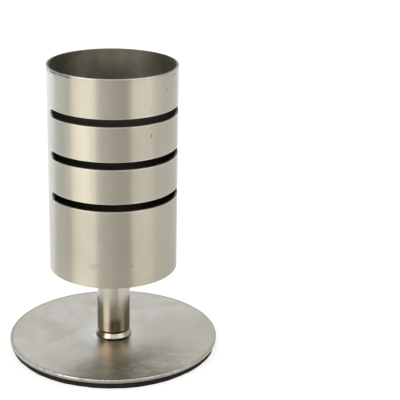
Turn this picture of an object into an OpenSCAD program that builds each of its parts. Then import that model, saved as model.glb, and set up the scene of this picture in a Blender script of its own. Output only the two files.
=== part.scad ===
// Toothpick holder: a slotted steel cup on a short stem and a round foot.
// Millimetres. +Z is up and -Y is the slotted front.
// The origin is the middle of the face that stands on the table.

/* [Cup] */
// Outer diameter of the cup tube
cup_d = 32; // [26:0.5:40]
// Wall of the cup tube
cup_wall = 0.6; // [0.5:0.1:1.2]
// Height of the cup tube
cup_h = 52; // [48:1:60]
// Bevel that breaks the sharp edges at both ends of the tube
cup_edge = 0.12; // [0.04:0.02:0.2]
// Height of the tube's lower end above the foot's top face
cup_lift = 19.3; // [17:0.1:26]

/* [Slots] */
// Number of slots, one under another
slot_count = 3; // [1:1:4]
// Height of a slot
slot_h = 1.9; // [1.2:0.1:2.4]
// From the rim down to the middle of the first slot
slot_drop = 10.5; // [8:0.5:11]
// From the middle of one slot down to the middle of the next
slot_pitch = 10.45; // [8:0.05:11]
// How far a slot reaches round the front, with its round ends, in degrees
slot_sweep = 164; // [90:2:200]

/* [Cup floor] */
// Thickness of the floor disc
floor_t = 1.0; // [0.8:0.1:1.6]
// How far the floor is set up into the tube's lower end
floor_recess = 0.8; // [0.2:0.1:1.5]
// Gap all round between the floor and the tube
floor_gap = 0.05; // [0.02:0.01:0.1]

/* [Stem] */
// Diameter of the stem
stem_d = 8.4; // [7.5:0.1:12]
// Bevel at both ends of the stem
stem_edge = 0.3; // [0.1:0.05:0.5]

/* [Foot collar] */
// Height of the collar between the foot and the stem
collar_h = 1.4; // [1.2:0.1:2.5]
// How far the collar's top edge stands back from the stem's side
collar_back = 0.4; // [0.3:0.05:0.8]
// How far the collar's foot stands out past the stem's side
collar_out = 0.4; // [0.3:0.1:2]
// Height of the collar's upright outer edge, below its slope
collar_lip = 0.3; // [0.1:0.05:0.5]

/* [Foot] */
// Diameter of the steel foot
plate_d = 53; // [44:1:70]
// Thickness of the steel foot
plate_t = 0.9; // [0.8:0.1:2]
// Radius of the foot's rounded upper rim
plate_round = 0.2; // [0.1:0.05:0.4]
// Thickness of the soft pad under the foot
pad_t = 1.6; // [1.4:0.1:3]
// How far the pad's edge stands back from the foot's edge
pad_inset = 0.4; // [0.2:0.1:2]

/* [Screws] */
// Thread diameter of both screws
thread_d = 4; // [3:0.5:4.5]
// Length of thread that each screw has in the stem
thread_grip = 6; // [4:0.5:6.5]
// Depth of a tapped hole past the screw's end
tap_spare = 1; // [0.5:0.1:1.2]
// Gap all round between a screw and its tapped hole
tap_gap = 0.05; // [0.02:0.01:0.1]
// Gap all round between a screw and the plain hole that it passes through
pass_gap = 0.2; // [0.1:0.05:0.4]
// Diameter of both screw heads
head_d = 8; // [6:0.5:9]
// Height of the domed screw head inside the cup
dome_head_h = 2.6; // [2:0.1:3.2]
// Height of the low screw head under the foot
low_head_h = 1.1; // [0.9:0.05:1.3]
// Width of each arm of the cross recess
recess_w = 0.9; // [0.6:0.1:1.2]
// Length across the cross recess
recess_len = 4.2; // [3:0.1:5]
// Depth of the cross recess
recess_depth = 0.9; // [0.5:0.1:1.3]
// Gap all round between the head under the foot and the pad's hole
pad_hole_gap = 0.5; // [0.2:0.1:1]

/* [Hidden] */
$fn = 96;

// How far a cut runs past the face that it opens
overrun = 1;
// A screw head's rounding and a shank's point bevel, as shares of the head and the thread
head_round_share = 0.5;
point_share = 0.15;

cup_r = cup_d / 2;
bore_r = cup_r - cup_wall;
slot_r = slot_h / 2;
// Half of a slot's round end, as an angle round the tube
slot_end_angle = asin(slot_r / cup_r);
slot_straight = slot_sweep - 2 * slot_end_angle;
cut_depth = cup_wall + 2 * overrun;
slot_mid_angle = -90;

floor_r = bore_r - floor_gap;
stem_r = stem_d / 2;
collar_top_r = stem_r - collar_back;
collar_r = stem_r + collar_out;
plate_r = plate_d / 2;
pad_r = plate_r - pad_inset;
pass_r = thread_d / 2 + pass_gap;
tap_r = thread_d / 2 + tap_gap;
tap_depth = thread_grip + tap_spare;
pad_hole_r = head_d / 2 + pad_hole_gap;

// Heights of the seats, from the table up
plate_z = pad_t;
collar_z = plate_z + plate_t;
stem_z = collar_z + collar_h;
cup_z = collar_z + cup_lift;
floor_z = cup_z + floor_recess;
floor_top_z = floor_z + floor_t;
stem_len = floor_z - stem_z;

steel_satin = [0.72, 0.70, 0.66];
steel_bright = [0.80, 0.79, 0.76];
steel_foot = [0.66, 0.66, 0.64];
steel_screw = [0.62, 0.62, 0.60];
pad_black = [0.06, 0.06, 0.06];

// A disc standing on its flat face, with a rounded rim at its top
module crowned_disc(r, h, round_r) {
    rotate_extrude()
        union() {
            square([r, h - round_r]);
            square([r - round_r, h]);
            translate([r - round_r, h - round_r])
                circle(r = round_r, $fn = 48);
        }
}

// A round bar standing on Z, with both ends bevelled
module bevelled_bar(r, h, bevel) {
    rotate_extrude()
        polygon([
            [0, 0], [r - bevel, 0], [r, bevel],
            [r, h - bevel], [r - bevel, h], [0, h]
        ]);
}

// Cuts that run past the top face of what they open
module blind_hole(r, depth) {
    translate([0, 0, -depth])
        cylinder(r = r, h = depth + overrun);
}

module through_hole(r, h) {
    translate([0, 0, -overrun])
        cylinder(r = r, h = h + 2 * overrun);
}

// Cross recess cut down from the origin
module cross_recess() {
    for (turn = [0, 90])
        rotate([0, 0, turn])
            translate([-recess_len / 2, -recess_w / 2, -recess_depth])
                cube([recess_len, recess_w, recess_depth + overrun]);
}

// A screw whose head stands on the origin, with its shank hanging down
module screw(head_h, shank_len) {
    difference() {
        union() {
            crowned_disc(head_d / 2, head_h, head_h * head_round_share);
            translate([0, 0, -shank_len])
                screw_shank(thread_d / 2, shank_len, thread_d * point_share);
        }
        translate([0, 0, head_h])
            cross_recess();
    }
}

// The shank is bevelled at its lower end only
module screw_shank(r, h, bevel) {
    rotate_extrude()
        polygon([[0, 0], [r - bevel, 0], [r, bevel], [r, h], [0, h]]);
}

// One slot's cutter round the tube's front, with round ends, centred on Z = 0
module slot_cutter() {
    rotate([0, 0, slot_mid_angle - slot_straight / 2])
        rotate_extrude(angle = slot_straight)
            translate([bore_r - overrun, -slot_r])
                square([cut_depth, slot_h]);
    for (side = [-1, 1])
        rotate([0, 0, slot_mid_angle + side * slot_straight / 2])
            translate([bore_r - overrun, 0, 0])
                rotate([0, 90, 0])
                    cylinder(r = slot_r, h = cut_depth);
}

module cup_tube() {
    color(steel_satin)
        translate([0, 0, cup_z])
            difference() {
                rotate_extrude()
                    polygon([
                        [bore_r, cup_edge], [bore_r + cup_edge, 0],
                        [cup_r - cup_edge, 0], [cup_r, cup_edge],
                        [cup_r, cup_h - cup_edge], [cup_r - cup_edge, cup_h],
                        [bore_r + cup_edge, cup_h], [bore_r, cup_h - cup_edge]
                    ]);
                for (i = [0 : slot_count - 1])
                    translate([0, 0, cup_h - slot_drop - i * slot_pitch])
                        slot_cutter();
            }
}

module cup_floor() {
    color(steel_satin)
        translate([0, 0, floor_z])
            difference() {
                crowned_disc(floor_r, floor_t, cup_edge);
                through_hole(pass_r, floor_t);
            }
}

module cup_screw() {
    color(steel_screw)
        translate([0, 0, floor_top_z])
            screw(dome_head_h, floor_t + thread_grip);
}

module stem() {
    color(steel_bright)
        translate([0, 0, stem_z])
            difference() {
                bevelled_bar(stem_r, stem_len, stem_edge);
                translate([0, 0, stem_len])
                    blind_hole(tap_r, tap_depth);
                mirror([0, 0, 1])
                    blind_hole(tap_r, tap_depth);
            }
}

// The collar's side slopes out from under the stem to its upright outer edge
module foot_collar() {
    color(steel_bright)
        translate([0, 0, collar_z])
            rotate_extrude()
                polygon([
                    [pass_r, 0], [collar_r, 0], [collar_r, collar_lip],
                    [collar_top_r, collar_h], [pass_r, collar_h]
                ]);
}

module base_plate() {
    color(steel_foot)
        translate([0, 0, plate_z])
            difference() {
                crowned_disc(plate_r, plate_t, plate_round);
                through_hole(pass_r, plate_t);
            }
}

module base_screw() {
    color(steel_screw)
        translate([0, 0, plate_z])
            mirror([0, 0, 1])
                screw(low_head_h, plate_t + collar_h + thread_grip);
}

module base_pad() {
    color(pad_black)
        difference() {
            cylinder(r = pad_r, h = pad_t);
            through_hole(pad_hole_r, pad_t);
        }
}

cup_tube();
cup_floor();
cup_screw();
stem();
foot_collar();
base_plate();
base_screw();
base_pad();
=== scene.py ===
import math

import bmesh
import bpy
from mathutils import Matrix, Vector


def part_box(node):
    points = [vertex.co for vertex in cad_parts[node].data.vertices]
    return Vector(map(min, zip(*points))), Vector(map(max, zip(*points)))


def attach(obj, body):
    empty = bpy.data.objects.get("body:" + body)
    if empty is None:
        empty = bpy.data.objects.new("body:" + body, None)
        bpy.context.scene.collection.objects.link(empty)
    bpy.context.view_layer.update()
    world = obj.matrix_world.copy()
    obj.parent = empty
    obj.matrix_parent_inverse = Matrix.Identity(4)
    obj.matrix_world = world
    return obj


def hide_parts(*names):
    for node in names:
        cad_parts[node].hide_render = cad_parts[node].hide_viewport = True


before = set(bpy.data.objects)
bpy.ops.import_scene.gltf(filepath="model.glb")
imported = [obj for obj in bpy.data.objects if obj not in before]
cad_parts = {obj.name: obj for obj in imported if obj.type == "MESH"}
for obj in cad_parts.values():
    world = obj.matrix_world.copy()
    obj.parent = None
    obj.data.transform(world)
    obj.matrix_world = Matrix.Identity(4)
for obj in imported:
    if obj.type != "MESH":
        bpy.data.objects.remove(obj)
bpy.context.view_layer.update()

# Pieces are made in millimetres and brought to metres when they are finished
MM = 0.001
MICROMETRE = 0.000001


def outer_radius(node):
    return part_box(node)[1].x / MM


def low_end(node):
    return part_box(node)[0].z / MM


def high_end(node):
    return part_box(node)[1].z / MM


def span(node):
    """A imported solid's low end, high end and outer radius."""
    return low_end(node), high_end(node), outer_radius(node)


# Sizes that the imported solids' boxes don't give, as in the part's source
CUP_WALL = 0.6
SLOT_COUNT = 3
SLOT_H = 1.9
SLOT_DROP = 10.5
SLOT_PITCH = 10.45
SLOT_SWEEP = math.radians(164)
THREAD_R = 2.0
TAP_R = 2.05
TAP_DEPTH = 7.0
PASS_R = 2.2
COLLAR_BACK = 0.4
COLLAR_LIP = 0.3
HEAD_R = 4.0
DOME_HEAD_H = 2.6
LOW_HEAD_H = 1.1
RECESS_W = 0.9
RECESS_LEN = 4.2
RECESS_DEPTH = 0.9
PAD_HOLE_R = 4.5

# Sizes of what only the scene has: screw threads, and the plain length under a head
THREAD_PITCH = 0.7
THREAD_DEPTH = 0.4
THREAD_ROWS = 8
PLAIN_SHANK = 0.8
# Waves of the pad's cut edge: mm out, how many go round, lean with height, start
EDGE_WAVES = (
    (0.06, 3, 0.0, 0.6),
    (0.05, 7, 2.0, 0.0),
    (0.035, 19, 0.0, 1.1),
    (0.025, 43, 5.0, 0.0),
)

# Columns round a turned piece, and round the foot, its pad, the screws and the table
COLUMNS = 256
FOOT_COLUMNS = 320
PAD_COLUMNS = 360
SCREW_COLUMNS = 96
TABLE_COLUMNS = 96

# The camera stands this far round from the slotted front, which looks along -Y
CAMERA_TURN = math.radians(-14)
TO_CAMERA = math.radians(270) + CAMERA_TURN


# Node helpers
def fill(tree, made, inputs):
    """A node's inputs linked to sockets or set to values."""
    for name, value in inputs.items():
        if isinstance(value, bpy.types.NodeSocket):
            tree.links.new(value, made.inputs[name])
        else:
            made.inputs[name].default_value = value


def put(tree, kind, inputs=None, **settings):
    """One node, with its settings made and its inputs filled."""
    made = tree.nodes.new(kind)
    for name, value in settings.items():
        setattr(made, name, value)
    fill(tree, made, inputs or {})
    return made


def maths(tree, operation, first, *others):
    """Shader or geometry maths on sockets or numbers, taken in turn."""
    for other in others or (0.0,):
        first = put(tree, "ShaderNodeMath", {0: first, 1: other}, operation=operation).outputs[0]
    return first


def product(tree, *values):
    """Masks and strengths multiplied."""
    return maths(tree, "MULTIPLY", *values)


def vector(tree, operation, first, second=(0.0, 0.0, 0.0)):
    """Vector maths on sockets or vectors. A length, distance or dot product comes as a number."""
    made = put(tree, "ShaderNodeVectorMath", {0: first, 1: second}, operation=operation)
    return made.outputs["Value" if operation in ("LENGTH", "DISTANCE", "DOT_PRODUCT") else "Vector"]


def spread(tree, value, low, high, to_low=0.0, to_high=1.0, soft=False):
    """A value brought from one range to another, and held inside it."""
    made = put(
        tree,
        "ShaderNodeMapRange",
        {"Value": value, "From Min": low, "From Max": high, "To Min": to_low, "To Max": to_high},
        clamp=True,
        interpolation_type="SMOOTHSTEP" if soft else "LINEAR",
    )
    return made.outputs[0]


def fall(tree, value, low, high, most=1.0, soft=False):
    """The most up to a low value, falling to 0 at a high one."""
    return spread(tree, value, low, high, most, 0.0, soft)


def blend(tree, factor, first, second):
    """Two colours mixed, each a socket or red, green and blue."""
    first, second = [(*each, 1) if isinstance(each, tuple) else each for each in (first, second)]
    made = put(tree, "ShaderNodeMix", {0: factor, 6: first, 7: second}, data_type="RGBA")
    return made.outputs[2]


def coats(tree, colour, *layers):
    """Colours laid over one another: each layer's colour, its mask and how much shows there."""
    for over, mask, strength in layers:
        colour = blend(tree, product(tree, mask, strength), colour, over)
    return colour


def millimetres(tree):
    """Object coordinates, in millimetres."""
    place = put(tree, "ShaderNodeTexCoord").outputs["Object"]
    return vector(tree, "MULTIPLY", place, (1 / MM,) * 3)


def height_of(tree, place):
    return put(tree, "ShaderNodeSeparateXYZ", {0: place}).outputs["Z"]


def level(tree, place):
    """A place brought to height 0."""
    return vector(tree, "MULTIPLY", place, (1.0, 1.0, 0.0))


def off_axis(tree, place):
    """Distance from the Z axis."""
    return vector(tree, "LENGTH", level(tree, place))


def drawn_out(tree, place, scale, turn=(0.0, 0.0, 0.0)):
    """Coordinates turned and stretched, so that a pattern on them runs one way."""
    inputs = {"Vector": place, "Rotation": turn, "Scale": scale}
    return put(tree, "ShaderNodeMapping", inputs).outputs[0]


def noise(tree, place, scale, detail=2.0, rough=0.5, distort=0.0):
    """Cloudy noise, from 0 to 1."""
    inputs = {
        "Vector": place,
        "Scale": scale,
        "Detail": detail,
        "Roughness": rough,
        "Distortion": distort,
    }
    return put(tree, "ShaderNodeTexNoise", inputs).outputs[0]


def streaks(tree, place, scale, detail=3.0, rough=0.6, turn=(0.0, 0.0, 0.0)):
    """Noise with its own scale along each axis."""
    return noise(tree, drawn_out(tree, place, scale, turn), 1.0, detail, rough)


def specks(tree, place, scale, size, share):
    """Small round specks: one in some cells of the given scale, as a mask."""
    cells = put(tree, "ShaderNodeTexVoronoi", {"Vector": place, "Scale": scale})
    near = fall(tree, cells.outputs["Distance"], size * 0.5, size)
    pick = put(tree, "ShaderNodeSeparateColor", {0: cells.outputs["Color"]}).outputs[0]
    return product(tree, near, fall(tree, pick, share, share + 0.01))


def scratches(tree, place, scale, turn, share):
    """Thin broken lines that run one way, as a mask."""
    lines = noise(tree, drawn_out(tree, place, scale, turn), 1.0, 1.0, 0.4, 0.15)
    return spread(tree, lines, 1.0 - share, 1.03 - share)


def total(tree, *parts, start=0.0):
    """Weighted sum of (weight, socket) pairs, added to a start."""
    for weight, socket in parts:
        inputs = {0: socket, 1: weight, 2: start}
        start = put(tree, "ShaderNodeMath", inputs, operation="MULTIPLY_ADD").outputs[0]
    return start


def spot_round(turn, out, height=0.0):
    """A place so many degrees round from the camera's line and mm out from the axis."""
    around = TO_CAMERA + math.radians(turn)
    return (out * math.cos(around), out * math.sin(around), height)


def front_share(tree, place, turn=0.0, none_at=0.2, full_at=0.8):
    """1 on the side that faces the camera, turned by an angle in degrees, falling to 0 round it.

    The limits are cosines of the angle away from that side."""
    along = vector(tree, "NORMALIZE", level(tree, place))
    towards = vector(tree, "DOT_PRODUCT", along, spot_round(turn, 1.0))
    return spread(tree, towards, none_at, full_at, soft=True)


def empty_tree(owner):
    """The emptied node tree of a material or a world."""
    owner.use_nodes = True
    owner.node_tree.nodes.clear()
    return owner.node_tree


def new_material(name):
    """A material with only a Principled shader in it."""
    made = bpy.data.materials.new(name)
    tree = empty_tree(made)
    shader = put(tree, "ShaderNodeBsdfPrincipled")
    put(tree, "ShaderNodeOutputMaterial", {0: shader.outputs[0]})
    return made, tree, shader


def dress(tree, shader, colour, gloss, heights, metal=1.0):
    """A shader's colour, roughness and metal, and its bump from heights in micrometres."""
    bump = put(tree, "ShaderNodeBump", {"Height": heights, "Distance": MICROMETRE})
    inputs = {"Base Color": colour, "Roughness": gloss, "Metallic": metal, "Normal": bump.outputs[0]}
    fill(tree, shader, inputs)


def brush_round(tree, shader, amount):
    """Highlights drawn out along the axis, as brushing or turning round it gives."""
    tangent = put(tree, "ShaderNodeTangent", direction_type="RADIAL", axis="Z").outputs[0]
    fill(tree, shader, {"Anisotropic": amount, "Anisotropic Rotation": 0.25, "Tangent": tangent})


# Finishes
# Fields of painted reflection, where the cup's brushing is paler, and of painted shade, where it is
# darker: degrees round
# # from the camera's line, the cosines of front_share, mm below the rim from and to, mm of fade,
# strength and colour
CUP_FIELDS = (
    (30, 0.93, 0.985, -2.0, 10.5, 0.8, 0.22, (0.83, 0.8, 0.71)),
    (-61, 0.93, 0.98, -2.0, 10.5, 0.8, 0.24, (0.83, 0.83, 0.78)),
    (-33, 0.965, 0.99, 10.5, 31.4, 0.8, 0.28, (0.83, 0.79, 0.68)),
    (-31, 0.96, 0.99, 31.4, 54.0, 0.8, 0.22, (0.4, 0.39, 0.36)),
    (-52, 0.78, 0.95, 48.0, 60.0, 7.0, 0.26, (0.83, 0.8, 0.71)),
    (29, 0.95, 0.985, 10.5, 31.4, 0.8, 0.22, (0.4, 0.385, 0.345)),
)
# Single marks on the cup: degrees round, mm below the rim, half width, half height and strength
CUP_MARKS = (
    (53.0, 3.9, 0.3, 0.3, 0.75),
    (33.7, 7.8, 0.35, 0.3, 0.3),
    (34.2, 14.2, 0.3, 0.75, 0.6),
    (-62.0, 18.7, 0.5, 0.6, 0.2),
    (-45.5, 47.2, 0.35, 0.3, 0.3),
    (-17.5, 46.4, 2.0, 1.1, 0.16),
)
# Middles of the dried spill on the foot: degrees round, mm out and mm taken off its reach
SPILL_MIDDLES = ((10, 24.0, 0.0), (46, 19.5, 4.0))


def cup_finish():
    """Satin steel brushed round the tube, with a duller inner wall, and painted reflections,
    highlights and shade.
    """
    made, tree, shader = new_material("cup_satin_steel")
    place = millimetres(tree)
    axes = put(tree, "ShaderNodeSeparateXYZ", {0: place}).outputs
    height = axes["Z"]
    radius = off_axis(tree, place)
    rim = high_end("cup_tube")
    cup_r = outer_radius("cup_tube")
    inside = fall(tree, radius, cup_r - CUP_WALL + 0.03, cup_r - CUP_WALL + 0.08)

    fine = streaks(tree, place, (0.05, 0.05, 11.0))
    broad = streaks(tree, place, (0.03, 0.03, 1.6), 2.0, 0.5)
    clouds = noise(tree, place, 0.16, 3.0, 0.55, 0.4)
    waves = noise(tree, place, 0.055, 1.0, 0.5)
    pits = specks(tree, place, 0.22, 0.05, 0.3)
    glints = specks(tree, drawn_out(tree, place, (0.7, 0.7, 1.0), (0.3, 0.7, 0.2)), 0.3, 0.07, 0.4)
    nicks = scratches(tree, place, (0.25, 0.25, 5.0), (0.5, 0.35, 0.0), 0.27)

    # Distance from the nearest slot's middle line, for the cut faces and their worn edges with a
    # painted highlight
    first_slot = rim - SLOT_DROP
    last_slot = first_slot - (SLOT_COUNT - 1) * SLOT_PITCH
    near = maths(tree, "PINGPONG", maths(tree, "SUBTRACT", height, first_slot), SLOT_PITCH / 2)
    end_y = -cup_r * math.cos(SLOT_SWEEP / 2)
    slotted = product(
        tree,
        fall(tree, axes["Y"], end_y - 0.2, end_y + 0.4),
        maths(tree, "GREATER_THAN", height, last_slot - SLOT_PITCH / 2),
        maths(tree, "LESS_THAN", height, first_slot + SLOT_PITCH / 2),
    )
    beside = fall(tree, near, SLOT_H / 2 + 0.1, SLOT_H / 2 + 0.4, 0.8, soft=True)
    beside = product(tree, beside, slotted)
    in_slot = maths(tree, "LESS_THAN", near, SLOT_H / 2 + 0.01)
    in_wall = fall(tree, radius, cup_r - 0.12, cup_r - 0.06)
    cut_face = product(tree, in_slot, in_wall, slotted)

    # The sawn rim, the wear and painted highlight along it and the slots, and the marks just under
    # it: scuffs, and a painted dark reflection on the left
    at_rim = spread(tree, height, rim - 0.2, rim - 0.1, soft=True)
    sawn = product(tree, at_rim, fall(tree, radius, cup_r - 0.16, cup_r - 0.08))
    patchy = spread(tree, noise(tree, place, 0.35, 2.0, 0.5), 0.35, 0.6, 0.45, 1.0)
    # Wear and a painted highlight: a pale line along the rim and the slots' edges
    wear_and_painted_highlight = product(tree, maths(tree, "MAXIMUM", beside, at_rim), patchy)
    rubs = streaks(tree, place, (0.28, 0.28, 1.6), 3.0, 0.65)
    under_rim = spread(tree, height, rim - 1.6, rim - 0.15)
    sides = spread(tree, front_share(tree, place, 0, 0.3, 0.9), 0.0, 1.0, 1.0, 0.25)
    scuffs = product(tree, spread(tree, rubs, 0.5, 0.62), under_rim, sides)
    # A painted dark reflection: a broken dark line just under the rim on the left
    painted_dark_reflection = product(
        tree,
        spread(tree, height, rim - 0.6, rim - 0.5),
        fall(tree, height, rim - 0.16, rim - 0.1),
        front_share(tree, place, -52, 0.955, 0.985),
        spread(tree, noise(tree, place, 0.8, 2.0, 0.6), 0.38, 0.48, 0.3, 1.0),
    )

    # Outer colour: the brushing, its fields of painted reflection and painted shade and its single
    # marks, then the wear with its painted highlight and the painted dark reflection
    shade = spread(tree, total(tree, (0.15, fine), (0.2, broad), (1.05, clouds)), 0.45, 0.95)
    colour = blend(tree, shade, (0.545, 0.525, 0.46), (0.605, 0.58, 0.51))
    # Each field paints a paler band of reflection or a darker band of shade
    for turn, none_at, full_at, from_rim, to_rim, fade, strength, field in CUP_FIELDS:
        low = rim - to_rim
        high = rim - from_rim
        mask = product(
            tree,
            spread(tree, height, low - fade, low + fade, soft=True),
            fall(tree, height, high - fade, high + fade, soft=True),
            front_share(tree, place, turn, none_at, full_at),
        )
        colour = coats(tree, colour, (field, mask, strength))
    marks = 0.0
    for turn, drop, half_width, half_height, strength in CUP_MARKS:
        away = vector(tree, "SUBTRACT", place, spot_round(turn, cup_r, rim - drop))
        away = drawn_out(tree, away, (1 / half_width, 1 / half_width, 1 / half_height))
        mark = fall(tree, vector(tree, "LENGTH", away), 0.4, 1.0, strength, soft=True)
        marks = maths(tree, "MAXIMUM", mark, marks)
    colour = coats(
        tree,
        colour,
        ((0.12, 0.122, 0.1), marks, 1.0),
        ((0.25, 0.245, 0.23), scuffs, 0.55),
        ((0.09, 0.085, 0.075), painted_dark_reflection, 0.9),
        ((0.78, 0.765, 0.72), wear_and_painted_highlight, 1.0),
        ((0.34, 0.335, 0.3), sawn, 1.0),
        ((0.12, 0.11, 0.095), pits, 0.75),
        ((0.9, 0.885, 0.84), glints, 0.6),
    )

    # The inner wall, with painted shade further down and towards one side and painted light near the
    # top of its back, and the cut faces in painted shade, with streaks of painted light towards the
    # slots' ends
    # Painted light near the top of the inner wall's back
    painted_light = spread(tree, height, rim - 7, rim - 2, soft=True)
    painted_light = product(tree, painted_light, front_share(tree, place, 181, 0.955, 0.995))
    # The inner wall's tone, with painted shade towards one side and further down
    inner = coats(
        tree,
        blend(tree, spread(tree, clouds, 0.3, 0.7), (0.23, 0.225, 0.193), (0.38, 0.373, 0.32)),
        ((0.19, 0.187, 0.168), front_share(tree, place, 158, 0.84, 0.98), 0.35),
        ((0.6, 0.59, 0.5), painted_light, 0.5),
        ((0.1, 0.096, 0.08), fall(tree, height, rim - 22, rim - 8, soft=True), 1.0),
    )
    # Painted shade on the cut faces, with streaks of painted light towards the slots' ends
    ends_painted_light = spread(tree, streaks(tree, place, (0.9, 0.9, 2.5), 3.0, 0.7), 0.4, 0.58)
    ends_painted_light = product(tree, ends_painted_light, sides)
    cut_face_painted_shade = blend(tree, ends_painted_light, (0.1, 0.093, 0.08), (0.27, 0.255, 0.22))
    colour = coats(tree, colour, (inner, inside, 1.0), (cut_face_painted_shade, cut_face, 0.85))

    dulled = ((0.55, inside), (0.2, pits), (0.1, cut_face), (0.15, sawn), (0.1, scuffs))
    gloss = total(tree, (0.03, fine), (0.05, clouds), (0.05, nicks), *dulled, start=0.3)
    heights = total(tree, (0.2, fine), (0.25, broad), (40.0, waves), (-12.0, pits), (-2.0, nicks))
    dress(tree, shader, colour, gloss, heights)
    brush_round(tree, shader, 1.0)
    return made


def floor_finish():
    """Plain mill finish of the disc in the cup: scratched on top, heat-tinted underneath."""
    made, tree, shader = new_material("floor_mill_steel")
    place = millimetres(tree)
    bottom = low_end("cup_floor")
    under = fall(tree, height_of(tree, place), bottom + 0.1, bottom + 0.3)
    clouds = noise(tree, place, 0.3, 3.0, 0.6, 0.3)
    grain = streaks(tree, place, (0.3, 9.0, 1.0), 2.0, 0.5)
    marks = scratches(tree, place, (0.4, 6.0, 1.0), (0.0, 0.0, 0.9), 0.3)
    dots = specks(tree, place, 0.7, 0.12, 0.35)
    shade = total(tree, (0.6, clouds), (0.4, grain))
    tint = blend(tree, clouds, (0.1, 0.085, 0.065), (0.2, 0.18, 0.15))
    colour = coats(
        tree,
        blend(tree, shade, (0.36, 0.345, 0.305), (0.52, 0.5, 0.45)),
        ((0.62, 0.6, 0.55), dots, 0.5),
        (tint, under, 1.0),
    )
    gloss = total(tree, (0.12, clouds), (0.08, grain), (0.1, marks), (0.15, under), start=0.26)
    heights = total(tree, (1.5, grain), (-3.0, marks), (-6.0, dots), (6.0, clouds))
    dress(tree, shader, colour, gloss, heights)
    return made


def polished_finish(name, dark, light, gloss_low, turn_marks, seams, tint_reach, dark_painted_shade, haze=0.0):
    """Turned and polished steel: faint lathe rings, hairline scratches, grime and painted shade in
    the front of its seams, and warm painted shade and dark painted shade at its lower end.

    A seam is a height, with how far the grime and painted shade reach from it. The dark painted
    shade is how far up it reaches, with the degrees round from the camera's line. The haze dulls
    all but the front."""
    made, tree, shader = new_material(name)
    place = millimetres(tree)
    height = height_of(tree, place)
    rings = streaks(tree, place, (0.06, 0.06, 7.0))
    clouds = noise(tree, place, 0.45, 3.0, 0.5, 0.5)
    waves = streaks(tree, place, (0.22, 0.22, 0.1), 1.0, 0.5)
    marks = scratches(tree, place, (3.0, 3.0, 0.25), (0.12, 0.1, 0.0), 0.29)
    dots = specks(tree, place, 0.5, 0.06, 0.25)
    # Grime and painted shade in the seams, on the front
    grime_and_painted_shade = 0.0
    for seam, reach in seams:
        off = maths(tree, "ABSOLUTE", maths(tree, "SUBTRACT", height, seam))
        grime_and_painted_shade = maths(tree, "MAXIMUM", fall(tree, off, reach * 0.7, reach, soft=True), grime_and_painted_shade)
    uneven = spread(tree, clouds, 0.3, 0.55, 0.8, 1.0)
    grime_and_painted_shade = product(tree, grime_and_painted_shade, uneven, front_share(tree, place, 8))
    low = seams[0][0]
    # Warm painted shade at the lower end, on the front
    tint = product(
        tree,
        fall(tree, height, low, low + tint_reach, 0.85, soft=True),
        spread(tree, clouds, 0.3, 0.6, 0.7, 1.0),
        front_share(tree, place, 0, 0.55, 0.85),
    )
    straw = front_share(tree, place, 38, 0.75, 0.96)
    painted_shade_colour = blend(tree, straw, (0.57, 0.43, 0.3), (0.5, 0.48, 0.26))
    # Dark painted shade at the lower end, round one side
    dark_shade_reach, dark_shade_turn = dark_painted_shade
    low_shade_painted = product(
        tree,
        fall(tree, height, low + dark_shade_reach * 0.5, low + dark_shade_reach, 0.95, soft=True),
        front_share(tree, place, dark_shade_turn, 0.88, 0.985),
        spread(tree, clouds, 0.3, 0.6, 0.8, 1.0),
    )
    colour = coats(
        tree,
        blend(tree, total(tree, (0.6, clouds), (0.4, rings)), dark, light),
        (painted_shade_colour, tint, 1.0),
        ((0.085, 0.066, 0.052), low_shade_painted, 1.0),
        ((0.2, 0.18, 0.15), dots, 0.6),
        ((0.02, 0.018, 0.014), grime_and_painted_shade, 1.0),
    )
    film = fall(tree, front_share(tree, place, 0, 0.6, 0.88), 0.0, 1.0, haze)
    dulled = ((0.08, marks), (0.3, grime_and_painted_shade), (0.5, film))
    gloss = total(tree, (0.06, clouds), (0.04, rings), *dulled, start=gloss_low)
    heights = total(tree, (turn_marks, rings), (10.0, waves), (-1.5, marks), (-4.0, dots))
    metal = maths(tree, "SUBTRACT", 1.0, film) if haze else 1.0
    dress(tree, shader, colour, gloss, heights, metal)
    brush_round(tree, shader, 0.8)
    return made


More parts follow.
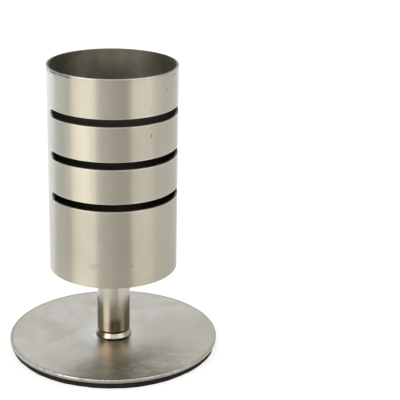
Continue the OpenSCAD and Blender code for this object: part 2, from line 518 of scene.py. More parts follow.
def foot_finish():
    """Cloudy satin sheet steel with stains, hairline scratches, a painted highlight along its rim
    and painted light and shade round the collar.
    """
    made, tree, shader = new_material("foot_satin_steel")
    place = millimetres(tree)
    flat = level(tree, place)
    radius = off_axis(tree, place)
    plate_r = outer_radius("base_plate")
    collar_r = outer_radius("foot_collar")
    top = high_end("base_plate")

    def round_collar(whole, gone):
        """1 beside the collar, from so many mm falling to 0 at so many."""
        return fall(tree, radius, collar_r + whole, collar_r + gone, soft=True)

    clouds = noise(tree, place, 0.07, 3.0, 0.55, 0.6)
    mottle = noise(tree, place, 0.3, 4.0, 0.6, 0.2)
    grain = streaks(tree, place, (0.8, 9.0, 1.0), turn=(0.0, 0.0, 0.5))
    stain = spread(tree, noise(tree, place, 0.06, 2.0, 0.5, 0.6), 0.48, 0.68, soft=True)
    lines_a = scratches(tree, place, (0.12, 5.0, 1.0), (0.0, 0.0, 0.35), 0.3)
    lines_b = scratches(tree, place, (4.5, 0.16, 1.0), (0.0, 0.0, -0.6), 0.29)
    lines = maths(tree, "MAXIMUM", lines_a, lines_b)
    pits = specks(tree, place, 0.2, 0.03, 0.25)

    # The dried spill, with an uneven edge
    from_spill = 100.0
    for turn, out, short in SPILL_MIDDLES:
        away = vector(tree, "DISTANCE", flat, spot_round(turn, out))
        from_spill = maths(tree, "MINIMUM", maths(tree, "ADD", away, short), from_spill)
    uneven = total(tree, (14.0, mottle), (9.0, clouds), (1.0, from_spill))
    blotches = noise(tree, place, 0.22, 4.0, 0.65, 0.5)
    spill = product(
        tree,
        fall(tree, uneven, 17.5, 29, 0.85, soft=True),
        spread(tree, blotches, 0.44, 0.54, 0.4, 1.0, soft=True),
    )

    # The painted highlight along the rim, its nicks and chips, the darker side face, and the painted
    # shade in a line beside the rim
    # A painted highlight along the rim, broken by the nicks
    rim = spread(tree, radius, plate_r - 0.22, plate_r - 0.1, soft=True)
    side = fall(tree, height_of(tree, place), top - 0.42, top - 0.2)
    # Painted shade in a line just inside the rim
    painted_shade_by_rim = spread(tree, radius, plate_r - 0.9, plate_r - 0.6, soft=True)
    nicks = spread(tree, noise(tree, place, 0.17, 4.0, 0.75), 0.38, 0.54, 0.3, 1.0)
    chips = product(
        tree,
        fall(tree, noise(tree, place, 1.5, 3.0, 0.7), 0.4, 0.48),
        spread(tree, noise(tree, place, 0.09, 1.0), 0.45, 0.55, 1.0, 0.2),
        spread(tree, radius, plate_r - 0.5, plate_r - 0.3),
    )

    # Warmer, paler, darker and duller places round the collar, painted light further out on the
    # front left, a painted highlight beside the collar's edge, and grime and painted shade in its
    # seam
    warm = product(tree, round_collar(4.0, 13.0), front_share(tree, place, 0, 0.89, 0.97))
    # Painted light on the plate to the front left, where it mirrors dark
    painted_light = product(
        tree,
        spread(tree, radius, 10.5, 14.0, soft=True),
        fall(tree, radius, 17.0, 22.0, soft=True),
        front_share(tree, place, -32, 0.95, 0.99),
    )
    halo = product(tree, round_collar(1.5, 6.0), front_share(tree, place, -95, 0.1, 0.7))
    # A painted highlight just beside the collar's edge, on the front left
    painted_highlight_by_collar = product(tree, round_collar(0.7, 1.3), front_share(tree, place, -60, 0.93, 0.985))
    dim = spread(tree, radius, 6.0, 11.0, soft=True)
    dim = product(tree, dim, front_share(tree, place, 82, 0.6, 0.95))
    # Grime and painted shade round the collar's foot, on the front
    grime_and_painted_shade = product(
        tree,
        round_collar(0.6, 1.3),
        spread(tree, mottle, 0.35, 0.55, 0.8, 1.0),
        front_share(tree, place, 11, 0.7, 0.92),
    )

    shade = spread(tree, total(tree, (0.45, clouds), (0.5, mottle), (0.05, grain)), 0.36, 0.64)
    colour = coats(
        tree,
        blend(tree, shade, (0.47, 0.458, 0.415), (0.575, 0.568, 0.535)),
        ((0.4, 0.365, 0.3), stain, 0.5),
        ((0.36, 0.32, 0.255), spill, 1.0),
        ((0.16, 0.145, 0.12), pits, 0.7),
        ((0.25, 0.24, 0.21), painted_shade_by_rim, 0.5),
        ((0.83, 0.84, 0.84), rim, nicks),
        ((0.1, 0.098, 0.09), chips, 0.6),
        ((0.36, 0.36, 0.345), side, 0.9),
        ((0.6, 0.59, 0.55), round_collar(0.9, 1.5), 0.5),
        ((0.95, 0.83, 0.63), warm, 0.8),
        ((0.8, 0.76, 0.66), painted_light, 0.16),
        ((0.68, 0.69, 0.66), halo, 0.5),
        ((0.9, 0.9, 0.87), painted_highlight_by_collar, 0.6),
        ((0.44, 0.425, 0.365), dim, 0.75),
        ((0.02, 0.018, 0.014), grime_and_painted_shade, 1.0),
    )
    dulled = ((0.05, stain), (0.05, lines), (0.12, spill), (0.12, warm))
    gloss = total(tree, (0.08, clouds), (0.06, mottle), (0.02, grain), *dulled, start=0.235)
    heights = total(tree, (0.06, grain), (2.0, mottle), (24.0, clouds), (-0.5, lines), (-5.0, pits))
    dress(tree, shader, colour, gloss, heights)
    return made


def screw_finish():
    """Bright zinc on the screws, with drive marks and a faint spangle."""
    made, tree, shader = new_material("screw_zinc")
    place = millimetres(tree)
    clouds = noise(tree, place, 0.9, 4.0, 0.6, 0.5)
    spangle = put(tree, "ShaderNodeTexVoronoi", {"Vector": place, "Scale": 2.2}).outputs["Color"]
    patch = put(tree, "ShaderNodeSeparateColor", {0: spangle}).outputs[0]
    marks = scratches(tree, place, (5.0, 0.6, 5.0), (0.0, 0.3, 0.8), 0.3)
    shade = total(tree, (0.6, clouds), (0.3, patch))
    colour = blend(tree, shade, (0.40, 0.40, 0.40), (0.60, 0.605, 0.61))
    gloss = total(tree, (0.15, clouds), (0.08, patch), (0.12, marks), start=0.22)
    heights = total(tree, (4.0, clouds), (1.0, patch), (-3.0, marks))
    dress(tree, shader, colour, gloss, heights)
    return made


def pad_finish():
    """Black closed-cell foam: tiny cells, a little dust and rubbed grey patches."""
    made, tree, shader = new_material("pad_black_foam")
    place = millimetres(tree)
    cells = put(tree, "ShaderNodeTexVoronoi", {"Vector": place, "Scale": 4.0}).outputs["Distance"]
    clouds = noise(tree, place, 0.5, 3.0, 0.6)
    grit = noise(tree, place, 3.5, 3.0, 0.7)
    dust = specks(tree, place, 0.6, 0.06, 0.3)
    shade = total(tree, (0.5, clouds), (0.5, grit))
    colour = blend(tree, shade, (0.006, 0.006, 0.006), (0.032, 0.031, 0.029))
    colour = coats(tree, colour, ((0.2, 0.19, 0.17), dust, 0.5))
    gloss = total(tree, (0.2, clouds), (0.15, cells), start=0.62)
    heights = total(tree, (60.0, cells), (25.0, grit), (60.0, clouds))
    dress(tree, shader, colour, gloss, heights, metal=0.0)
    fill(tree, shader, {"Specular IOR Level": 0.3})
    return made


# Shapes
def rounded(corners, steps=6, hold=0.05):
    """Outline points of (radius, height, rounding) corners, each rounded off.

    A held point on both sides of a rounding keeps the flat beside it flat in the shading."""
    points = []
    count = len(corners)
    for index, (radius, height, rounding) in enumerate(corners):
        corner = Vector((radius, height))
        if rounding <= 0:
            points.append((radius, height))
            continue
        before = Vector(corners[index - 1][:2]) - corner
        after = Vector(corners[(index + 1) % count][:2]) - corner
        room = (before.length, after.length)
        before.normalize()
        after.normalize()
        half = before.angle(after) / 2
        reach = rounding / math.tan(half)
        middle = corner + (before + after).normalized() * rounding / math.sin(half)
        if room[0] > reach + 2 * hold:
            points.append(tuple(corner + before * (reach + hold)))
        start = corner + before * reach - middle
        end = corner + after * reach - middle
        whole = start.angle(end)
        for step in range(steps + 1):
            share = step / steps
            spoke = start * math.sin((1 - share) * whole) + end * math.sin(share * whole)
            points.append(tuple(middle + spoke / math.sin(whole)))
        if room[1] > reach + 2 * hold:
            points.append(tuple(corner + after * (reach + hold)))
    return points


def turned(outline, closed, columns=COLUMNS):
    """A bmesh of (radius, height) points turned about Z. A point on the axis is one vertex."""
    work = bmesh.new()
    rings = []
    for radius, height in outline:
        if radius < 1e-6:
            rings.append([work.verts.new((0.0, 0.0, height))])
            continue
        ring = []
        for column in range(columns):
            angle = 2 * math.pi * column / columns
            ring.append(work.verts.new((radius * math.cos(angle), radius * math.sin(angle), height)))
        rings.append(ring)
    pairs = list(zip(rings, rings[1:]))
    if closed:
        pairs.append((rings[-1], rings[0]))
    for lower, upper in pairs:
        for column in range(columns):
            sides = ((lower, column), (lower, column + 1), (upper, column + 1), (upper, column))
            corners = list(dict.fromkeys(ring[place % len(ring)] for ring, place in sides))
            if len(corners) > 2:
                work.faces.new(corners)
    bmesh.ops.recalc_face_normals(work, faces=work.faces)
    return work


def mesh_of(name, work):
    """A mesh made of a bmesh, which is freed."""
    mesh = bpy.data.meshes.new(name)
    work.to_mesh(mesh)
    work.free()
    return mesh


def add_object(name, data):
    """A new object in the scene."""
    made = bpy.data.objects.new(name, data)
    bpy.context.scene.collection.objects.link(made)
    return made


def piece_of(name, work, sharp=40.0):
    """An object made of a bmesh, smooth but for edges past the sharp angle."""
    made = add_object(name, mesh_of(name, work))
    made.data.shade_smooth()
    made.data.set_sharp_from_angle(angle=math.radians(sharp))
    return made


def modify(made, name, kind, **settings):
    """A modifier put on an object, with its settings made."""
    modifier = made.modifiers.new(name, kind)
    for setting, value in settings.items():
        setattr(modifier, setting, value)


def settle(made):
    """The object's modifiers made plain mesh, and the modifiers taken off."""
    bpy.context.view_layer.update()
    seen = made.evaluated_get(bpy.context.evaluated_depsgraph_get())
    plain = bpy.data.meshes.new_from_object(seen)
    made.modifiers.clear()
    made.data = plain
    plain.name = made.name


def finish_piece(made, node, material):
    """Brings a piece to metres, gives it its material and hands it to the frame."""
    made.data.transform(Matrix.Scale(MM, 4))
    made.data.materials.clear()
    made.data.materials.append(material)
    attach(made, "root")
    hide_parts(node)


def slotted_tube_tree():
    """Nodes that wrap a flat grid round a tube and open its slots, at the sizes of their inputs."""
    tree = bpy.data.node_groups.new("slotted_tube", "GeometryNodeTree")
    for side in ("INPUT", "OUTPUT"):
        tree.interface.new_socket("Geometry", in_out=side, socket_type="NodeSocketGeometry")
    lengths = ("Outer radius", "Low end", "High end", "Slot height", "First slot drop", "Slot pitch")
    kinds = {
        "NodeSocketFloat": (*lengths, "Slot sweep"),
        "NodeSocketInt": ("Slot count", "Front columns", "End columns", "Back columns"),
        "NodeSocketMaterial": ("Steel",),
    }
    for kind, names in kinds.items():
        for name in names:
            tree.interface.new_socket(name, in_out="INPUT", socket_type=kind)
    given = put(tree, "NodeGroupInput").outputs

    def sums(operation, *values):
        return maths(tree, operation, *values)

    # A flat grid with whole numbers for places: columns across and rows up. They are kept as
    # attributes, because the faces to cut are found by them after the grid has been wrapped
    cut_columns = sums("ADD", given["Front columns"], given["End columns"])
    half_count = sums("ADD", cut_columns, given["Back columns"])
    column_gaps = sums("MULTIPLY", half_count, 2.0)
    row_gaps = sums("ADD", sums("MULTIPLY", given["Slot count"], 2.0), 1.0)
    grid = put(
        tree,
        "GeometryNodeMeshGrid",
        {
            "Size X": column_gaps,
            "Size Y": row_gaps,
            "Vertices X": sums("ADD", column_gaps, 1.0),
            "Vertices Y": sums("ADD", row_gaps, 1.0),
        },
    )
    sheet = grid.outputs["Mesh"]
    position = put(tree, "GeometryNodeInputPosition").outputs[0]
    place = put(tree, "ShaderNodeSeparateXYZ", {0: position}).outputs
    row = sums("ADD", place["Y"], sums("MULTIPLY", row_gaps, 0.5))
    for name, value in (("column", place["X"]), ("row", row)):
        inputs = {"Geometry": sheet, "Name": name, "Value": value}
        kept = put(tree, "GeometryNodeStoreNamedAttribute", inputs, data_type="FLOAT")
        sheet = kept.outputs["Geometry"]
    column, row = [
        put(tree, "GeometryNodeInputNamedAttribute", {"Name": name}, data_type="FLOAT").outputs[0]
        for name in ("column", "row")
    ]

    # Angle from the front: the slots' straight part, their round ends, then the plain back
    slot_r = sums("MULTIPLY", given["Slot height"], 0.5)
    end_width = sums("DIVIDE", slot_r, given["Outer radius"])
    half_sweep = sums("MULTIPLY", given["Slot sweep"], 0.5)
    straight = sums("SUBTRACT", half_sweep, sums("ARCSINE", end_width))
    away = sums("ABSOLUTE", column)
    straight_share = spread(tree, away, 0.0, given["Front columns"])
    end_share = spread(tree, away, given["Front columns"], cut_columns)
    back_share = spread(tree, away, cut_columns, half_count)
    end_rise = sums("SINE", sums("MULTIPLY", end_share, math.pi / 2))
    angle = sums(
        "ADD",
        sums("MULTIPLY", straight_share, straight),
        sums("ARCSINE", sums("MULTIPLY", end_width, end_rise)),
        sums("MULTIPLY", back_share, sums("SUBTRACT", math.pi, half_sweep)),
    )
    angle = sums("MULTIPLY", angle, sums("SIGN", column))

    # Half the slot's height at this angle, nothing past the round end
    opening = sums("SUBTRACT", 1.0, sums("MULTIPLY", end_rise, end_rise))
    opening = sums("MULTIPLY", sums("SQRT", sums("MAXIMUM", opening, 0.0)), slot_r)

    # Height of each row: the two ends of the tube, and two edges for each slot
    edge = sums("SUBTRACT", row, 1.0)
    slot_row = sums("FLOOR", sums("DIVIDE", edge, 2.0))
    edge_side = sums("SUBTRACT", edge, sums("MULTIPLY", slot_row, 2.0))
    edge_side = sums("SUBTRACT", sums("MULTIPLY", edge_side, 2.0), 1.0)
    below_first = sums("SUBTRACT", given["Slot count"], 1.0, slot_row)
    below_first = sums("MULTIPLY", below_first, given["Slot pitch"])
    slot_z = sums("SUBTRACT", given["High end"], given["First slot drop"], below_first)
    edge_z = sums("ADD", slot_z, sums("MULTIPLY", edge_side, opening))
    at_bottom = sums("LESS_THAN", row, 0.5)
    at_top = sums("GREATER_THAN", row, sums("SUBTRACT", row_gaps, 0.5))
    height = sums(
        "ADD",
        sums("MULTIPLY", edge_z, sums("SUBTRACT", 1.0, at_bottom, at_top)),
        sums("MULTIPLY", at_bottom, given["Low end"]),
        sums("MULTIPLY", at_top, given["High end"]),
    )
    wrapped = put(
        tree,
        "ShaderNodeCombineXYZ",
        {
            "X": sums("MULTIPLY", sums("SINE", angle), given["Outer radius"]),
            "Y": sums("MULTIPLY", sums("COSINE", angle), given["Outer radius"], -1.0),
            "Z": height,
        },
    ).outputs[0]

    # Faces between a slot's two edges come out, and the seam and the closed rows are joined
    in_slot_row = sums("GREATER_THAN", sums("MODULO", row, 2.0), 1.0)
    in_slot = sums("MULTIPLY", in_slot_row, sums("LESS_THAN", away, cut_columns))
    steps = (
        ("GeometryNodeSetPosition", {"Position": wrapped}, {}),
        ("GeometryNodeDeleteGeometry", {"Selection": in_slot}, {"domain": "FACE"}),
        ("GeometryNodeMergeByDistance", {"Distance": 0.002}, {}),
        ("GeometryNodeSetShadeSmooth", {}, {}),
        ("GeometryNodeRealizeInstances", {}, {}),
        ("GeometryNodeSetMaterial", {"Material": given["Steel"]}, {}),
    )
    for kind, inputs, settings in steps:
        sheet = put(tree, kind, {"Geometry": sheet, **inputs}, **settings).outputs[0]
    put(tree, "NodeGroupOutput", {0: sheet})
    return tree


def make_cup_tube(steel):
    """The cup's tube: its outer skin from the tree, then its wall and the worn bevels."""
    tree = slotted_tube_tree()
    made = add_object("slotted_cup_tube", bpy.data.meshes.new("slotted_cup_tube"))
    shaping = made.modifiers.new("slotted_tube", "NODES")
    shaping.node_group = tree
    values = {
        "Outer radius": outer_radius("cup_tube"),
        "Low end": low_end("cup_tube"),
        "High end": high_end("cup_tube"),
        "Slot count": SLOT_COUNT,
        "Slot height": SLOT_H,
        "First slot drop": SLOT_DROP,
        "Slot pitch": SLOT_PITCH,
        "Slot sweep": SLOT_SWEEP,
        "Front columns": 72,
        "End columns": 12,
        "Back columns": 68,
        "Steel": steel,
    }
    for item in tree.interface.items_tree:
        if item.name in values:
            shaping[item.identifier] = values[item.name]
    modify(made, "wall", "SOLIDIFY", thickness=CUP_WALL, offset=-1.0, use_even_offset=True)
    modify(
        made,
        "edges",
        "BEVEL",
        width=0.1,
        segments=3,
        limit_method="ANGLE",
        angle_limit=math.radians(50),
        use_clamp_overlap=False,
    )
    modify(made, "facing", "WEIGHTED_NORMAL", weight=100, keep_sharp=False)
    settle(made)
    for name in ("column", "row"):
        made.data.attributes.remove(made.data.attributes[name])
    finish_piece(made, "cup_tube", steel)


def make_cup_floor():
    bottom, top, reach = span("cup_floor")
    outline = rounded([
        (PASS_R, bottom, 0.08),
        (reach, bottom, 0.05),
        (reach, top, 0.12),
        (PASS_R, top, 0.08),
    ])
    made = piece_of("cup_floor_disc", turned(outline, True))
    finish_piece(made, "cup_floor", floor_finish())


def make_stem():
    bottom, top, reach = span("stem")
    outline = rounded([
        (0.0, bottom + TAP_DEPTH, 0),
        (TAP_R, bottom + TAP_DEPTH, 0.05),
        (TAP_R, bottom, 0.12),
        (reach, bottom, 0.28),
        (reach, top, 0.28),
        (TAP_R, top, 0.12),
        (TAP_R, top - TAP_DEPTH, 0.05),
        (0.0, top - TAP_DEPTH, 0),
    ])
    made = piece_of("turned_stem", turned(outline, False))
    steel = polished_finish(
        "stem_polished_steel",
        dark=(0.54, 0.525, 0.47),
        light=(0.64, 0.62, 0.56),
        gloss_low=0.11,
        turn_marks=0.3,
        seams=((bottom, 0.6),),
        tint_reach=7.0,
        dark_painted_shade=(5.2, 6),
    )
    finish_piece(made, "stem", steel)


def make_collar():
    bottom, top, reach = span("foot_collar")
    neck = outer_radius("stem") - COLLAR_BACK
    outline = rounded([
        (PASS_R, top, 0.1),
        (PASS_R, bottom, 0.1),
        (reach, bottom, 0.05),
        (reach, bottom + COLLAR_LIP, 0.12),
        (neck, top, 0.15),
    ])
    made = piece_of("foot_collar_ring", turned(outline, True), sharp=60.0)
    steel = polished_finish(
        "collar_polished_steel",
        dark=(0.74, 0.72, 0.635),
        light=(0.86, 0.84, 0.75),
        gloss_low=0.19,
        turn_marks=0.4,
        seams=((bottom, 0.22), (top, 0.15)),
        tint_reach=0.1,
        dark_painted_shade=(9.0, -52),
        haze=0.6,
    )
    finish_piece(made, "foot_collar", steel)


def make_foot():
    """The steel foot, its edge a hair inside the solid's."""
    bottom, top, reach = span("base_plate")
    reach -= 0.01
    outline = rounded([
        (PASS_R, bottom, 0.1),
        (reach, bottom, 0.1),
        (reach, top, 0.2),
        (PASS_R, top, 0.1),
    ])
    made = piece_of("round_foot_plate", turned(outline, True, FOOT_COLUMNS))
    finish_piece(made, "base_plate", foot_finish())


def make_pad():
    """The foam pad, its cut edge slightly bulged and uneven."""
    bottom, top, reach = span("base_pad")
    outline = [
        (PAD_HOLE_R, top),
        (PAD_HOLE_R, top - 0.1),
        (PAD_HOLE_R, bottom + 0.1),
        (PAD_HOLE_R + 0.08, bottom + 0.02),
        (PAD_HOLE_R + 0.2, bottom),
        (PAD_HOLE_R + 8, bottom),
        (reach - 6, bottom),
        (reach - 0.35, bottom),
        (reach - 0.16, bottom + 0.05),
        (reach - 0.04, bottom + 0.18),
    ]
    outline += [(reach + 0.03, bottom + (top - bottom) * share) for share in (0.3, 0.5, 0.7)]
    outline += [(reach - 0.02, top - 0.2), (reach - 0.12, top - 0.06), (reach - 0.25, top)]
    work = turned(outline, True, PAD_COLUMNS)
    for vertex in work.verts:
        spot = vertex.co
        from_axis = math.hypot(spot.x, spot.y)
        if from_axis < reach - 0.5:
            continue
        angle = math.atan2(spot.y, spot.x)
        unevenness = sum(
            out * math.sin(count * angle + lean * spot.z + start)
            for out, count, lean, start in EDGE_WAVES
        )
        grow = 1 + unevenness / from_axis
        spot.x *= grow
        spot.y *= grow
    finish_piece(piece_of("foam_foot_pad", work), "base_pad", pad_finish())


def screw_outline(head_h, shank, domed):
    """Half outline of a screw from its point up, its head standing on height 0."""
    outline = [(0.0, -shank), (THREAD_R - 0.62, -shank), (THREAD_R - 0.5, -shank + 0.12)]
    height = -shank + 0.2
    while height < -PLAIN_SHANK:
        outline.append((THREAD_R - 0.02, height))
        height += THREAD_PITCH / THREAD_ROWS
    neck = THREAD_R - 0.05
    outline += [(neck, -PLAIN_SHANK + 0.1), (neck, -0.1), (THREAD_R + 0.05, 0.0)]
    outline += [(HEAD_R - 0.2, 0.0), (HEAD_R - 0.06, 0.04), (HEAD_R, 0.16)]
    if domed:
        low = head_h * 0.42
        outline.append((HEAD_R, low))
        steps = 14
        for step in range(1, steps):
            turn = math.pi / 2 * step / steps
            out = HEAD_R * math.cos(turn) ** 0.75
            outline.append((out, low + (head_h - low) * math.sin(turn) ** 0.9))
    else:
        outline += [(HEAD_R, head_h - 0.45), (HEAD_R - 0.06, head_h - 0.28)]
        outline += [(HEAD_R - 0.18, head_h - 0.12), (HEAD_R - 0.38, head_h - 0.02)]
        outline += [(HEAD_R - 0.5, head_h), (HEAD_R - 1.6, head_h)]
    outline.append((0.0, head_h))
    return outline


def cross_cutter(top):
    """A cross whose arms narrow towards their bottom, for a screw's drive."""
    work = bmesh.new()
    half_w = RECESS_W / 2
    half_l = RECESS_LEN / 2
    plan = []
    for quarter in range(4):
        angle = quarter * math.pi / 2
        for x, y in ((half_l, half_w), (half_w, half_w), (half_w, half_l)):
            across = x * math.cos(angle) - y * math.sin(angle)
            plan.append((across, x * math.sin(angle) + y * math.cos(angle)))
    rings = []
    for height, share in ((top - RECESS_DEPTH, 0.72), (top + 0.5, 1.08)):
        ring = []
        for x, y in plan:
            at_tip = max(abs(x), abs(y)) > half_w + 0.01
            shrink = share if at_tip else 0.5 + 0.5 * share
            ring.append(work.verts.new((x * shrink, y * shrink, height)))
        rings.append(ring)
    low, high = rings
    count = len(plan)
    for index in range(count):
        following = (index + 1) % count
        work.faces.new((low[index], low[following], high[following], high[index]))
    work.faces.new(list(reversed(low)))
    work.faces.new(high)
    bmesh.ops.recalc_face_normals(work, faces=work.faces)
    return add_object("cross_cutter", mesh_of("cross_cutter", work))


def make_screw(name, node, head_h, shank, seat, domed, material):
    """A screw with a real thread and a cut cross, on its seat: domed head up or low head down."""
    work = turned(screw_outline(head_h, shank, domed), False, SCREW_COLUMNS)
    for vertex in work.verts:
        spot = vertex.co
        from_axis = math.hypot(spot.x, spot.y)
        if from_axis < 0.5 or spot.z > -PLAIN_SHANK or spot.z < -shank + 0.15:
            continue
        turn = math.atan2(spot.y, spot.x) / (2 * math.pi)
        phase = (spot.z / THREAD_PITCH - turn) % 1.0
        depth = THREAD_DEPTH * min(1.0, max(0.0, abs(phase - 0.5) * 2.6 - 0.15))
        fade = min(1.0, (-PLAIN_SHANK - spot.z) / 0.5)
        grow = (from_axis - depth * fade) / from_axis
        spot.x *= grow
        spot.y *= grow
    made = piece_of(name, work, 50.0)
    cutter = cross_cutter(head_h)
    modify(made, "drive", "BOOLEAN", operation="DIFFERENCE", solver="EXACT", object=cutter)
    settle(made)
    bpy.data.objects.remove(cutter)
    if not domed:
        made.data.transform(Matrix.Rotation(math.pi, 4, "X"))
    made.data.transform(Matrix.Translation((0, 0, seat)))
    made.data.set_sharp_from_angle(angle=math.radians(40))
    finish_piece(made, node, material)


cup_steel = cup_finish()
zinc = screw_finish()
make_cup_tube(cup_steel)
make_cup_floor()
make_stem()
make_collar()
make_foot()
make_pad()
floor_top = high_end("cup_floor")
cup_shank = floor_top - low_end("cup_screw")
make_screw("cup_dome_screw", "cup_screw", DOME_HEAD_H, cup_shank, floor_top, True, zinc)
plate_bottom = low_end("base_plate")
foot_shank = high_end("base_screw") - plate_bottom
make_screw("foot_low_screw", "base_screw", LOW_HEAD_H, foot_shank, plate_bottom, False, zinc)

# Camera at the photograph's angle: its focal length in pixels of the picture, its place in mm and
# its turns in degrees, as they are before the turn to the slotted front
FOCAL_PIXELS = 1257.02
PICTURE_PIXELS = 400
SENSOR_WIDTH = 36.0
CAMERA_PLACE = (-0.14, -295.64, 145.58)
CAMERA_PITCH = math.radians(19.813)
CAMERA_YAW = math.radians(4.228)
CAMERA_ROLL = math.radians(1.180)


def photo_camera():
    data = bpy.data.cameras.new("camera")
    data.sensor_width = SENSOR_WIDTH
    data.lens = FOCAL_PIXELS / PICTURE_PIXELS * SENSOR_WIDTH
    data.clip_start = 0.01
    data.clip_end = 20.0
    camera = add_object("camera", data)
    direction = Vector((math.sin(CAMERA_YAW), math.cos(CAMERA_YAW), 0.0))
    ahead = direction * math.cos(CAMERA_PITCH) - Vector((0, 0, math.sin(CAMERA_PITCH)))
    across = ahead.cross(Vector((0, 0, 1))).normalized()
    upward = across.cross(ahead)
    right = across * math.cos(CAMERA_ROLL) + upward * math.sin(CAMERA_ROLL)
    up = upward * math.cos(CAMERA_ROLL) - across * math.sin(CAMERA_ROLL)
    stance = Matrix((right, up, -ahead)).transposed().to_4x4()
    stance.translation = Vector(CAMERA_PLACE) * MM
    camera.matrix_world = Matrix.Rotation(CAMERA_TURN, 4, "Z") @ stance
    bpy.context.scene.camera = camera


# Studio: cards stand round a white table, and steel mirrors the table that each one lights.
# Light in each direction, in degrees from the camera, left of it negative
BRIGHTEST = 3.0
CARDS = (
    (-180, (0.97, 0.97, 0.97)),
    (-157, (0.97, 0.97, 0.97)),
    (-148, (0.2, 0.2, 0.195)),
    (-125, (0.17, 0.17, 0.165)),
    (-79, (0.17, 0.17, 0.165)),
    (-73, (2.0, 1.84, 1.6)),
    (-52, (2.42, 2.23, 1.92)),
    (-33, (2.0, 1.85, 1.6)),
    (-27, (0.6, 0.56, 0.5)),
    (-17, (0.3, 0.28, 0.25)),
    (25, (0.3, 0.28, 0.25)),
    (33, (0.6, 0.58, 0.48)),
    (46, (0.9, 0.87, 0.7)),
    (70, (0.9, 0.87, 0.7)),
    (80, (0.17, 0.165, 0.14)),
    (125, (0.15, 0.15, 0.145)),
    (148, (0.2, 0.2, 0.195)),
    (157, (0.97, 0.97, 0.97)),
    (180, (0.97, 0.97, 0.97)),
)
CEILING = (1.3, 1.27, 1.2)
LIT_TABLE = (
    (-180, (1.0, 1.03, 1.1)),
    (-123, (1.0, 1.05, 1.15)),
    (-115, (0.69, 0.72, 0.74)),
    (-106, (0.61, 0.64, 0.64)),
    (-80, (0.65, 0.66, 0.62)),
    (-75, (0.64, 0.64, 0.58)),
    (-68, (0.63, 0.61, 0.55)),
    (-52, (0.66, 0.65, 0.62)),
    (-38, (0.7, 0.68, 0.66)),
    (-30, (0.72, 0.7, 0.65)),
    (-24, (0.55, 0.53, 0.49)),
    (-10, (0.5, 0.48, 0.45)),
    (4, (0.33, 0.31, 0.29)),
    (28, (0.26, 0.24, 0.22)),
    (34, (0.74, 0.7, 0.67)),
    (46, (0.72, 0.67, 0.64)),
    (66, (0.74, 0.71, 0.68)),
    (84, (0.7, 0.7, 0.66)),
    (98, (0.68, 0.67, 0.64)),
    (140, (0.59, 0.61, 0.63)),
    (155, (0.8, 0.83, 0.88)),
    (180, (1.0, 1.03, 1.1)),
)
# The table's light close to the foot, and how far the table reaches from its middle, in mm
TABLE_MIDDLE = (0.55, 0.54, 0.5)
TABLE_R = 3000.0


def light_share(light):
    """A light's colour as a share of the brightest."""
    return tuple(part / BRIGHTEST for part in light)


def light_round(tree, direction, lights):
    """Colour of the light in a horizontal direction, as a share of the brightest."""
    facing = drawn_out(tree, direction, (1.0, 1.0, 1.0), (0.0, 0.0, -TO_CAMERA))
    axes = put(tree, "ShaderNodeSeparateXYZ", {0: facing}).outputs
    angle = maths(tree, "ARCTAN2", axes["Y"], axes["X"])
    ramp = put(tree, "ShaderNodeValToRGB", {0: spread(tree, angle, -math.pi, math.pi)})
    stops = ramp.color_ramp.elements
    stops.remove(stops[1])
    for degrees, light in lights:
        stop = stops[0] if degrees == -180 else stops.new((degrees + 180) / 360)
        stop.color = (*light_share(light), 1)
    return ramp.outputs[0]


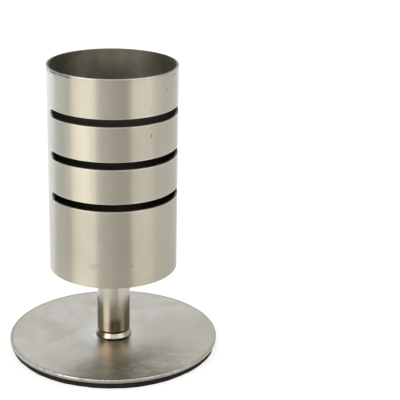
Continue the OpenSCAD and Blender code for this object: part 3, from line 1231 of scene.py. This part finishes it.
def white_table():
    """A table top, open under the pad's flat, so that the pad can be seen from below."""
    under_pad = outer_radius("base_pad") - 0.6
    work = turned([(under_pad, 0.0), (TABLE_R, 0.0)], False, TABLE_COLUMNS)
    work.faces.ensure_lookup_table()
    if work.faces[0].normal.z < 0:
        bmesh.ops.reverse_faces(work, faces=work.faces)
    bmesh.ops.scale(work, vec=(MM, MM, MM), verts=work.verts)
    table = add_object("white_table", mesh_of("white_table", work))
    made = bpy.data.materials.new("white_table")
    tree = empty_tree(made)
    place = millimetres(tree)
    radius = off_axis(tree, place)
    rays = put(tree, "ShaderNodeLightPath").outputs

    # The camera sees it near white, and darker round the foot, where the shadow lies
    seen = product(tree, rays["Is Camera Ray"], spread(tree, radius, 32, 80, 0.74, 0.9, True))
    to_eye = put(tree, "ShaderNodeEmission", {"Strength": seen})

    # The steel mirrors its light, one colour by the foot and stronger further out
    near_to_far = spread(tree, radius, 30, 110, 0.6, 1.0)
    lit = blend(tree, near_to_far, light_share(TABLE_MIDDLE), light_round(tree, place, LIT_TABLE))
    mirrored = maths(tree, "MAXIMUM", rays["Is Glossy Ray"], rays["Is Transmission Ray"])
    strength = spread(tree, radius, 60, 220, 0.95 * BRIGHTEST, 1.2 * BRIGHTEST)
    strength = product(tree, mirrored, strength)
    to_steel = put(tree, "ShaderNodeEmission", {"Color": lit, "Strength": strength})
    paint = put(tree, "ShaderNodeBsdfDiffuse", {"Color": (0.35, 0.35, 0.35, 1)})
    glow = put(tree, "ShaderNodeAddShader", {0: to_eye.outputs[0], 1: to_steel.outputs[0]})
    both = put(tree, "ShaderNodeAddShader", {0: paint.outputs[0], 1: glow.outputs[0]})
    put(tree, "ShaderNodeOutputMaterial", {0: both.outputs[0]})
    table.data.materials.append(made)


def studio_light():
    """The world: cards all round and a ceiling for the steel, and plain white for the camera."""
    world = bpy.data.worlds.new("studio_light")
    tree = empty_tree(world)
    looking = put(tree, "ShaderNodeTexCoord").outputs["Generated"]
    cards_end = math.sin(math.radians(37))
    ceiling_whole = math.sin(math.radians(52))
    up = spread(tree, height_of(tree, looking), cards_end, ceiling_whole, soft=True)
    light = blend(tree, up, light_round(tree, looking, CARDS), light_share(CEILING))
    rays = put(tree, "ShaderNodeLightPath").outputs
    studio = put(tree, "ShaderNodeBackground", {"Color": light, "Strength": BRIGHTEST})
    plain = put(tree, "ShaderNodeBackground", {"Color": (1, 1, 1, 1)})
    shown = {0: rays["Is Camera Ray"], 1: studio.outputs[0], 2: plain.outputs[0]}
    seen = put(tree, "ShaderNodeMixShader", shown)
    put(tree, "ShaderNodeOutputWorld", {0: seen.outputs[0]})
    bpy.context.scene.world = world


photo_camera()
white_table()
studio_light()
bpy.context.scene.view_settings.view_transform = "Standard"
